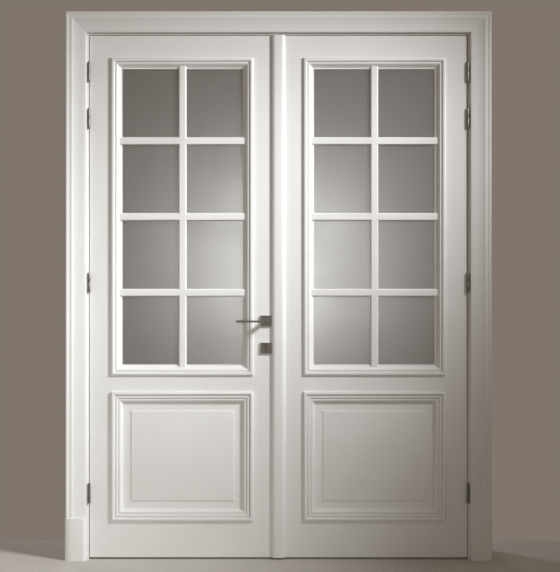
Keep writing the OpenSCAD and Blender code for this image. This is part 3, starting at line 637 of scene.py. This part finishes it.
@dataclass
class Casing(Assembly):
    """The architraves round the opening on both faces, and the plinth blocks under the front ones."""
    thick_mm: float = 24.0
    flat_mm: float = 19.5
    edge_round_mm: float = 5.0
    plinth_round_mm: Point = (34, 12)
    plinth_inner_round_mm: Point = (14, 12)
    plinth_top_round_mm: float = 2.4
    below_floor_mm: float = 300.0

    def section(self) -> list[Point]:
        """Draws the architrave's section: two low beads outside, a flat band, a slight slope inside.

        Returns:
            Points in millimetres, inwards from the outer edge and out from the wall.
        """
        width, top, flat, rounding = self.width_mm(), self.thick_mm, self.flat_mm, self.edge_round_mm
        outer_bead = [(0, 0), *bow((rounding, top - rounding), (rounding, rounding), 180, 75, 12),
                      (13, top - 1.2), (14.5, top - 2)]
        inner_bead = [*bow((22, top - 3.5), (7.5, 2), 140, 25, 12), (31, flat + 0.9), (33.5, flat)]
        slope = [(width - 15, flat), (width - 1.5, flat - 2.5), (width, flat - 4), (width, 0)]
        return outer_bead + inner_bead + slope

    def width_mm(self) -> float:
        """Reads the architrave's width from the CAD, in millimetres."""
        low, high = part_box("architrave_front_left")
        return (high.x - low.x) / MM

    def run(self, face: Face) -> None:
        """Makes the three mitred architraves of one face.

        Args:
            face: the face that they stand on.
        """
        word = face.value
        low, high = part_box(f"architrave_{word}_left")
        head_low, head_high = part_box(f"architrave_{word}_head")
        wall_y = high.y if face is Face.FRONT else low.y
        drop = self.below_floor_mm * MM  # the run goes on below the floor and is sawn off
        outline = Outline(0, (head_high.z - drop) / 2, head_high.x - head_low.x, head_high.z + drop)
        whole = run_section(f"architrave_run_{word}", outline, wall_y, self.section())
        if face is Face.REAR:
            turned = mirrored(whole, "architrave_run_turned", Y_AXIS, wall_y)
            bpy.data.objects.remove(whole)
            whole = turned
        cut_off(whole, (0, 0, low.z), (0, 0, -1))
        left_corner, right_corner = (head_low.x, 0, head_high.z), (head_high.x, 0, head_high.z)
        head = copy_piece(whole, f"architrave_{word}_head_moulded")
        cut_off(head, left_corner, (-1, 0, -1))
        cut_off(head, right_corner, (1, 0, -1))
        left = copy_piece(whole, f"architrave_{word}_left_moulded")
        cut_off(left, (0, 0, 0), (1, 0, 0))
        cut_off(left, left_corner, (1, 0, 1))
        right = mirrored(left, f"architrave_{word}_right_moulded", X_AXIS)
        bpy.data.objects.remove(whole)
        for piece, place in ((left, "left"), (right, "right"), (head, "head")):
            smooth(piece)
            self.fit(piece, "frame", LACQUER_ROLLED, "painted_wood", f"architrave_{word}_{place}")

    def plinths(self) -> None:
        """Makes the two plinth blocks, rounded on both upright edges and eased on top."""
        low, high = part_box("plinth_block_left")
        block = start_block("plinth_block_left_shaped", tuple(low), tuple(high))
        front, top = low.y, high.z
        for (across, out), edge_x in ((self.plinth_round_mm, low.x), (self.plinth_inner_round_mm, high.x)):
            squeeze = out / across  # each round is drawn as a circle on a squeezed block, then stretched
            with editing(block):
                bpy.ops.mesh.select_all(action="SELECT")
                bpy.ops.transform.resize(value=(squeeze, 1, 1), center_override=(edge_x, 0, 0))
                pick_edges(block, lambda middle, run: abs(run.z) > ALONG and abs(middle.x - edge_x) < NEAR
                           and abs(middle.y - front) < NEAR)
                bpy.ops.mesh.bevel(offset=out * MM, offset_type="OFFSET", segments=12, profile=0.5,
                                   affect="EDGES")
                bpy.ops.mesh.select_all(action="SELECT")
                bpy.ops.transform.resize(value=(1 / squeeze, 1, 1), center_override=(edge_x, 0, 0))
        with editing(block):
            pick_edges(block, lambda middle, run: middle.z > top - NEAR
                       and middle.y < front + self.plinth_round_mm[1] * MM + NEAR)
            bpy.ops.mesh.bevel(offset=self.plinth_top_round_mm * MM, offset_type="OFFSET", segments=3,
                               profile=0.5, affect="EDGES")
        turn_outwards(block)
        smooth(block)
        twin = mirrored(block, "plinth_block_right_shaped", X_AXIS)
        smooth(twin)
        self.fit(block, "frame", LACQUER_ROLLED, "painted_wood", "plinth_block_left")
        self.fit(twin, "frame", LACQUER_ROLLED, "painted_wood", "plinth_block_right")

    def build(self) -> None:
        """Makes all of the casing."""
        self.run(Face.FRONT)
        self.run(Face.REAR)
        self.plinths()


@dataclass
class Lining(Assembly):
    """The jambs, the head, the seal in their rebate and the keep for the top bolt."""

    def build(self) -> None:
        """Dresses the lining, whose shapes come from the CAD."""
        self.dress(LACQUER_ROLLED, "jamb_left", "jamb_right", "head_lining")
        self.dress(SEAL_RUBBER, "frame_seal")
        self.dress(BRUSHED_STEEL, "head_keep")
        self.dress(SCREW_STEEL, "frame_screws")


# ---- The leaves ----

@dataclass
class LeafJoinery(Assembly):
    """Both leaves' joinery: framing, glazing frames, panels, panel mouldings, astragals and glass."""
    glazing_band_mm: float = 43.0
    panel_band_mm: float = 46.0
    lip_mm: float = 0.6
    cover_mm: float = 20.0
    bar_w_mm: float = 31.0
    bar_round_mm: Point = (5.5, 7)
    bar_rise_mm: float = 12.0
    bar_bury_mm: float = 15.0
    light_columns: int = 2
    light_rows: int = 4
    tongue_half_mm: float = 7.0
    panel_arris_mm: float = 0.8
    panel_bevel_mm: float = 32.0
    panel_rise_mm: float = 3.0
    panel_step_mm: Point = (3, 3)
    astragal_round_mm: float = 18.0
    astragal_shoulder_mm: float = 3.0

    def face_y(self, face: Face) -> float:
        """Reads the depth of one face of the leaves."""
        low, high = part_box("active_top_rail")
        return low.y if face is Face.FRONT else high.y

    def middle_y(self) -> float:
        """Returns the depth of the leaves' middle plane."""
        return (self.face_y(Face.FRONT) + self.face_y(Face.REAR)) / 2

    def glazing_section(self, glass_mm: float) -> list[Point]:
        """Draws the glazing moulding's section: a round bead on the stile, then an ogee to the glass.

        Args:
            glass_mm: the glass's depth behind the leaf's face.

        Returns:
            Points in millimetres, inwards from the outer edge and out from the leaf's face.
        """
        band = self.glazing_band_mm
        bead = [(2, 0), (self.lip_mm, 1.5), *bow((7.8, 4), (7.8, 6), 180, 0, 18), (16.2, 1.2)]
        step = [(18, 1.4), (18.4, 3.6), (20.5, 4.2)]
        fall = [*ogee(step[-1], (41, -12), 18), (band, -12.4)]
        back = [(band, -glass_mm), (self.cover_mm, -glass_mm), (self.cover_mm, 0)]
        return bead + step + fall + back

    def panel_section(self, tongue_mm: float) -> list[Point]:
        """Draws the panel moulding's section: a round bead on the stile, two lower ones and a chamfer.

        Args:
            tongue_mm: the panel tongue's depth behind the leaf's face.

        Returns:
            Points in millimetres, inwards from the outer edge and out from the leaf's face.
        """
        band = self.panel_band_mm
        bead = [(2, 0), (self.lip_mm, 1.5), *bow((7.4, 4.5), (7.2, 6.5), 180, 0, 18), (15.2, 2.2)]
        middle_bead = [*bow((21.4, 2), (5.9, 3.8), 180, 0, 14), (27.6, -0.8)]
        low_bead = [*bow((33, -1.2), (5.1, 2.8), 180, 0, 12), (38.4, -4)]
        chamfer = [(43.6, -6.6), (44.5, -9), (band, -9.4)]
        back = [(band, -tongue_mm), (self.cover_mm, -tongue_mm), (self.cover_mm, 0)]
        return bead + middle_bead + low_bead + chamfer + back

    def bar(self, name: str, outline: Outline, glass_y: float, upright: bool) -> bpy.types.Object:
        """Makes one glazing bar: its base on the glass, drawn up through two rounded edges to a flat.

        Args:
            name: the bar's name.
            outline: the bar's base.
            glass_y: the depth of the glass.
            upright: True for an upright bar.

        Returns:
            The bar as a closed solid.
        """
        stick = start_sheet(name, outline, glass_y)
        width = (outline.width if upright else outline.height) / MM
        round_w, round_h = self.bar_round_mm
        steps = [(width / 2, 0.0), *bow((width / 2 - round_w, self.bar_rise_mm - round_h),
                                        (round_w, round_h), 0, 90, 10)]
        centre = (outline.centre_x, glass_y, outline.centre_z)
        with editing(stick):
            bpy.ops.mesh.select_all(action="SELECT")
            for (a_half, a_out), (b_half, b_out) in zip(steps, steps[1:]):
                bpy.ops.mesh.extrude_region_move(
                    TRANSFORM_OT_translate={"value": (0, (a_out - b_out) * MM, 0)})
                ratio = b_half / a_half
                bpy.ops.transform.resize(value=(ratio if upright else 1, 1, 1 if upright else ratio),
                                         center_override=centre)
        turn_outwards(stick)
        return stick

    def glazing_frame(self) -> bpy.types.Object:
        """Makes the active leaf's front glazing frame: the mitred moulding and its bars as one piece.

        Returns:
            The frame, mouldings towards -Y.
        """
        outline = Outline.of_node("active_glazing_front")
        face_y = self.face_y(Face.FRONT)
        glass_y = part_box("active_glass_pane")[0].y
        ring = run_section("glazing_frame_active_front", outline.inset(-self.lip_mm * MM), face_y,
                           self.glazing_section((glass_y - face_y) / MM))
        sight = outline.inset((self.glazing_band_mm - self.lip_mm) * MM)
        bury = 2 * self.bar_bury_mm * MM
        bar_w = self.bar_w_mm * MM
        light_w = (sight.width - (self.light_columns - 1) * bar_w) / self.light_columns
        light_h = (sight.height - (self.light_rows - 1) * bar_w) / self.light_rows
        bars = []
        for i in range(1, self.light_rows):
            z = sight.centre_z - sight.height / 2 + i * (light_h + bar_w) - bar_w / 2
            bars.append(self.bar(f"rung_{i}", Outline(sight.centre_x, z, sight.width + bury, bar_w),
                                 glass_y, False))
        for i in range(1, self.light_columns):
            x = sight.centre_x - sight.width / 2 + i * (light_w + bar_w) - bar_w / 2
            bars.append(self.bar(f"upright_{i}", Outline(x, sight.centre_z, bar_w, sight.height + bury),
                                 glass_y, True))
        for stick in bars:
            combine(ring, stick, "UNION")
        turn_outwards(ring)
        return ring

    def raised_panel(self) -> bpy.types.Object:
        """Makes the front half of the active leaf's raised panel: tongue, bevel, step and field.

        Returns:
            The half, open along the leaf's middle plane.
        """
        outline = Outline.of_node("active_raised_panel")
        middle = self.middle_y()
        moulding = Outline.of_node("active_panel_moulding_front")
        hidden = (moulding.width - outline.width) / 2
        flat = self.panel_band_mm * MM - hidden - self.lip_mm * MM
        slope, rise = flat + self.panel_bevel_mm * MM, self.panel_rise_mm * MM
        step_w, step_h = (v * MM for v in self.panel_step_mm)
        tongue = self.tongue_half_mm * MM
        panel = start_sheet("raised_panel_active", outline, middle)
        centre = (outline.centre_x, middle, outline.centre_z)
        steps = [(0.0, 0.0), (0.0, tongue), (flat, tongue), (slope, tongue + rise),
                 (slope + step_w, tongue + rise + step_h)]
        with editing(panel):
            bpy.ops.mesh.select_all(action="SELECT")
            for (a_in, a_out), (b_in, b_out) in zip(steps, steps[1:]):
                bpy.ops.mesh.extrude_region_move(TRANSFORM_OT_translate={"value": (0, a_out - b_out, 0)})
                before, after = outline.inset(a_in), outline.inset(b_in)
                bpy.ops.transform.resize(value=(after.width / before.width, 1, after.height / before.height),
                                         center_override=centre)
            pick_faces(panel, lambda spot, normal: abs(spot.y - middle) < NEAR and abs(normal.y) > ALONG)
            bpy.ops.mesh.delete(type="FACE")
        return panel

    def finish_panel(self, panel: bpy.types.Object) -> None:
        """Closes a panel with its mirrored half and eases its arrises.

        Args:
            panel: the panel's front half, which becomes the whole.
        """
        back = mirrored(panel, "panel_back", Y_AXIS, self.middle_y())
        take(panel)
        back.select_set(True)
        bpy.ops.object.join()
        turn_outwards(panel)
        ease(panel, self.panel_arris_mm * MM, segments=3, angle=15)
        smooth(panel)

    def astragal(self, side: Side) -> bpy.types.Object:
        """Makes one cover strip, rounded along both edges.

        Args:
            side: the leaf that it is planted on.

        Returns:
            The strip.
        """
        low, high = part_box(f"{side.value}_astragal")
        across = self.astragal_round_mm * MM
        depth = high.y - low.y
        out = depth - self.astragal_shoulder_mm * MM
        front = side is Side.ACTIVE  # the active leaf's strip is on the front, the other on the back
        base_y, tip_y = (high.y, low.y) if front else (low.y, high.y)
        stretch = across / out
        drawn_tip = base_y + (tip_y - base_y) * stretch
        strip = start_block(f"astragal_{side.value}_rounded", (low.x, min(base_y, drawn_tip), low.z),
                            (high.x, max(base_y, drawn_tip), high.z))
        with editing(strip):
            pick_edges(strip, lambda middle, run: abs(run.z) > ALONG and abs(middle.y - drawn_tip) < NEAR)
            bpy.ops.mesh.bevel(offset=across, offset_type="OFFSET", segments=14, profile=0.5, affect="EDGES")
            bpy.ops.mesh.select_all(action="SELECT")
            bpy.ops.transform.resize(value=(1, 1 / stretch, 1), center_override=(0, base_y, 0))
        turn_outwards(strip)
        smooth(strip)
        return strip

    def build(self) -> None:
        """Makes the joinery of both leaves, each repeated piece once and then copied."""
        middle, face_y = self.middle_y(), self.face_y(Face.FRONT)
        glazing = self.glazing_frame()
        panel_outline = Outline.of_node("active_panel_moulding_front")
        tongue_mm = (middle - face_y) / MM - self.tongue_half_mm
        moulding = run_section("panel_moulding_active_front", panel_outline.inset(-self.lip_mm * MM),
                               face_y, self.panel_section(tongue_mm))
        panel = self.raised_panel()
        self.finish_panel(panel)
        for pattern, what, node in ((glazing, "glazing_frame", "glazing"),
                                    (moulding, "panel_moulding", "panel_moulding")):
            rear = mirrored(pattern, f"{what}_active_rear", Y_AXIS, middle)
            for piece, face in ((pattern, Face.FRONT), (rear, Face.REAR)):
                twin = mirrored(piece, f"{what}_passive_{face.value}", X_AXIS)
                for one, side in ((piece, Side.ACTIVE), (twin, Side.PASSIVE)):
                    smooth(one)
                    self.fit(one, f"{side.value}_leaf", LACQUER, "painted_wood",
                             f"{side.value}_{node}_{face.value}")
        twin = mirrored(panel, "raised_panel_passive", X_AXIS)
        smooth(twin)
        self.fit(panel, "active_leaf", LACQUER, "painted_wood", "active_raised_panel")
        self.fit(twin, "passive_leaf", LACQUER, "painted_wood", "passive_raised_panel")
        for side in Side:
            self.fit(self.astragal(side), f"{side.value}_leaf", LACQUER, "painted_wood",
                     f"{side.value}_astragal")
            self.dress(LACQUER, *(f"{side.value}_{part}" for part in (
                "hinge_stile", "meeting_stile", "top_rail", "lock_rail", "bottom_rail")))
            self.dress(GLASS, f"{side.value}_glass_pane")
            self.dress(SCREW_STEEL, f"{side.value}_screws")


# ---- The hardware ----

@dataclass
class Hinges(Assembly):
    """The four pairs of hinge halves on each side and their pins."""
    arris_mm: float = 0.5

    def build(self) -> None:
        """Rounds the hinges' arrises and dresses them."""
        for node, body in (("hinge_frame_halves", "frame"), ("hinge_pins", "frame"),
                           ("active_hinge_halves", "active_leaf"),
                           ("passive_hinge_halves", "passive_leaf")):
            piece = eased_copy(node, f"{node}_eased", self.arris_mm * MM)
            self.fit(piece, body, HINGE_STEEL, "hinge_steel", node)


@dataclass
class LockSet(Assembly):
    """The lever handles, the roses, the key cylinder and the mortice lock."""
    rose_edge_mm: float = 6.5
    rose_top_mm: float = 41.0
    rose_arris_mm: float = 0.8
    lever_arris_mm: float = 1.0
    cylinder_rose_arris_mm: float = 0.6
    plug_arris_mm: float = 0.2
    tip_round_share: float = 0.98
    neck_radius_mm: float = 9.0
    grip_depth_mm: float = 18.0
    grip_thick_mm: float = 8.0
    running_gap_mm: float = 0.06

    def lever(self) -> bpy.types.Object:
        """Makes the front lever: a flat square grip on a round neck, all its arrises softened.

        Returns:
            The lever.
        """
        low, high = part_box("lever_front")
        spindle_low, spindle_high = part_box("spindle")
        axis_x = (spindle_low.x + spindle_high.x) / 2
        half = self.grip_thick_mm / 2 * MM
        z = (spindle_low.z + spindle_high.z) / 2
        grip = start_block("lever_front_softened", (low.x, low.y, z - half),
                           (high.x, low.y + self.grip_depth_mm * MM, z + half))
        with editing(grip):
            pick_edges(grip, lambda middle, run: abs(run.y) > ALONG and middle.x < low.x + MM)
            bpy.ops.mesh.bevel(offset=half * self.tip_round_share, offset_type="OFFSET", segments=8,
                               profile=0.5, affect="EDGES")
        neck_from = low.y + self.grip_depth_mm / 2 * MM
        neck = start_rod("neck", (axis_x, (neck_from + high.y) / 2, z), self.neck_radius_mm * MM,
                         high.y - neck_from)
        combine(grip, neck, "UNION")
        turn_outwards(grip)
        ease(grip, self.lever_arris_mm * MM, segments=3, angle=35)
        smooth(grip)
        return grip

    def rose(self, name: str, centre_x: float, centre_z: float, face_y: float,
             thick: float) -> bpy.types.Object:
        """Makes one square rose: an upright rim, then four slopes to a flat middle.

        Args:
            name: the rose's name.
            centre_x: its middle across.
            centre_z: its middle in height.
            face_y: the depth of the leaf's face.
            thick: how far it stands off the leaf.

        Returns:
            The rose without its hole.
        """
        low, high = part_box("lever_roses")
        width = high.x - low.x
        plate = start_sheet(name, Outline(centre_x, centre_z, width, width), face_y)
        centre = (centre_x, face_y, centre_z)
        ratio = self.rose_top_mm * MM / width
        with editing(plate):
            bpy.ops.mesh.select_all(action="SELECT")
            for rise in (self.rose_edge_mm * MM, thick - self.rose_edge_mm * MM):
                bpy.ops.mesh.extrude_region_move(TRANSFORM_OT_translate={"value": (0, -rise, 0)})
            bpy.ops.transform.resize(value=(ratio, 1, ratio), center_override=centre)
        turn_outwards(plate)
        ease(plate, self.rose_arris_mm * MM, segments=3, angle=15)
        return plate

    def build(self) -> None:
        """Makes the levers and lever roses, and dresses the lock and its cylinder."""
        leaf_low, leaf_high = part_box("active_top_rail")
        middle = (leaf_low.y + leaf_high.y) / 2
        front = self.lever()
        rear = mirrored(front, "lever_rear_softened", Y_AXIS, middle)
        smooth(rear)
        self.fit(front, "handle", CHROME, "chrome", "lever_front")
        self.fit(rear, "handle", CHROME, "chrome", "lever_rear")
        low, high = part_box("lever_roses")
        rose_x, rose_z = (low.x + high.x) / 2, (low.z + high.z) / 2
        thick = leaf_low.y - low.y
        rose = self.rose("lever_rose_front", rose_x, rose_z, leaf_low.y, thick)
        through = 4 * thick  # long enough to pass right through the rose
        bore = start_rod("bore", (rose_x, leaf_low.y, rose_z),
                         (self.neck_radius_mm + self.running_gap_mm) * MM, through)
        combine(rose, bore, "DIFFERENCE")
        turn_outwards(rose)
        smooth(rose)
        twin = mirrored(rose, "lever_rose_rear", Y_AXIS, middle)
        smooth(twin)
        self.fit(rose, "active_leaf", CHROME, "chrome", "lever_roses")
        self.fit(twin, "active_leaf", CHROME, "chrome", "lever_roses")
        key_roses = eased_copy("cylinder_roses", "cylinder_roses_eased", self.cylinder_rose_arris_mm * MM)
        self.fit(key_roses, "active_leaf", CHROME, "chrome", "cylinder_roses")
        plug = eased_copy("cylinder_plug", "cylinder_plug_eased", self.plug_arris_mm * MM)
        self.fit(plug, "key_plug", NICKEL, "nickel_brass", "cylinder_plug")
        self.dress(NICKEL, "lock_cylinder")
        self.dress(ZINC_PLATE, "lock_case", "spindle", "follower")
        self.dress(BRUSHED_STEEL, "dead_bolt", "latch_bolt", "lock_forend")


@dataclass
class PassiveHardware(Assembly):
    """The strike plate and the two flush bolts in the passive leaf's meeting edge."""

    def build(self) -> None:
        """Dresses the strike and the flush bolts."""
        self.dress(BRUSHED_STEEL, "strike_plate", "flush_bolt_plates", "flush_bolt_top", "flush_bolt_bottom")


# ---- The studio ----

@dataclass
class SoftLight:
    """One soft area light, hung in one place and aimed at another, both in metres.

    Its power is in watts and its spread in degrees. A light that is not in gloss and glass shows in no
    reflection and not through the glass.
    """
    name: str
    place: Place
    aim: Place
    size: float
    power: float
    tint: str
    spread: float = 180
    in_gloss_and_glass: bool = True

    def hang(self) -> None:
        """Hangs the light and aims it."""
        lamp = bpy.data.lights.new(self.name, "AREA")
        lamp.shape = "DISK"
        lamp.size = self.size
        lamp.energy = self.power
        lamp.color = linear(self.tint)[:3]
        lamp.spread = math.radians(self.spread)
        holder = bpy.data.objects.new(self.name, lamp)
        holder.location = self.place
        holder.visible_camera = False
        holder.visible_glossy = holder.visible_transmission = self.in_gloss_and_glass
        towards = Vector(self.aim) - Vector(self.place)
        holder.rotation_euler = towards.to_track_quat("-Z", "Y").to_euler()
        bpy.context.scene.collection.objects.link(holder)
        log.info("light %s: %.0f W", self.name, self.power)


@dataclass
class Studio:
    """The floor, the lights, the surroundings and the camera.

    The low fill and the rear fill would burn out the chrome, so reflections and the glass do not show them.
    """
    paints: Paintbox
    lights: list[SoftLight] = field(default_factory=lambda: [
        SoftLight("high_key", (2.03, -1.49, 2.60), (-1.44, -0.05, 0.75), 0.7, 16.8, "FAFCFF", 56),
        SoftLight("low_fill", (-0.81, -3.60, 0.60), (-1.20, -0.05, 0.40), 1.2, 4.9, "FAFCFF", 67, False),
        SoftLight("next_room", (0.0, 2.6, 1.27), (0, 0, 1.17), 1.0, 3.3, "FCFEFF", 110),
        SoftLight("rear_fill", (-2.4, 2.6, 2.5), (0.2, 0.1, 1.0), 1.0, 9.0, "FAFCFF", 75, False),
    ])
    surround: str = "80766D"
    floor_arris_mm: float = 2.0
    floor_low: Place = (-2.6, -3.4, -0.05)
    floor_high: Place = (2.6, 0.25, 0)
    eye: Place = (0.006, -4.151, 1.108)
    lens_mm: float = 63.6
    sensor_mm: float = 36.0

    def lay_floor(self) -> None:
        """Lays a pale floor slab that ends just behind the doors."""
        slab = start_block("studio_floor", self.floor_low, self.floor_high)
        ease(slab, self.floor_arris_mm * MM)
        self.paints.coat(slab, FLOOR_MATT)

    def surroundings(self) -> None:
        """Surrounds the doors with a plain grey-brown."""
        world = bpy.data.worlds.new("surroundings")
        world.use_nodes = True
        backdrop = world.node_tree.nodes["Background"]
        backdrop.inputs["Color"].default_value = linear(self.surround)
        backdrop.inputs["Strength"].default_value = 1.0
        bpy.context.scene.world = world

    def set_camera(self) -> None:
        """Places the camera level in front of the doors."""
        lens = bpy.data.cameras.new("camera")
        lens.lens = self.lens_mm
        lens.sensor_width = self.sensor_mm
        camera = bpy.data.objects.new("camera", lens)
        camera.location = self.eye
        camera.rotation_euler = (math.pi / 2, 0, 0)
        bpy.context.scene.collection.objects.link(camera)
        bpy.context.scene.camera = camera

    def build(self) -> None:
        """Sets up the whole studio."""
        bpy.context.scene.view_settings.view_transform = "Standard"
        self.lay_floor()
        self.surroundings()
        self.set_camera()
        for light in self.lights:
            light.hang()


def main() -> None:
    """Builds the sub-assemblies in order."""
    logging.basicConfig(level=logging.INFO, format="%(message)s")
    paints = Paintbox()
    for part in (Studio(paints), Lining(paints), Casing(paints), LeafJoinery(paints), Hinges(paints),
                 LockSet(paints), PassiveHardware(paints)):
        part.build()
        log.info("%s done", type(part).__name__)


if __name__ == "__main__":
    main()
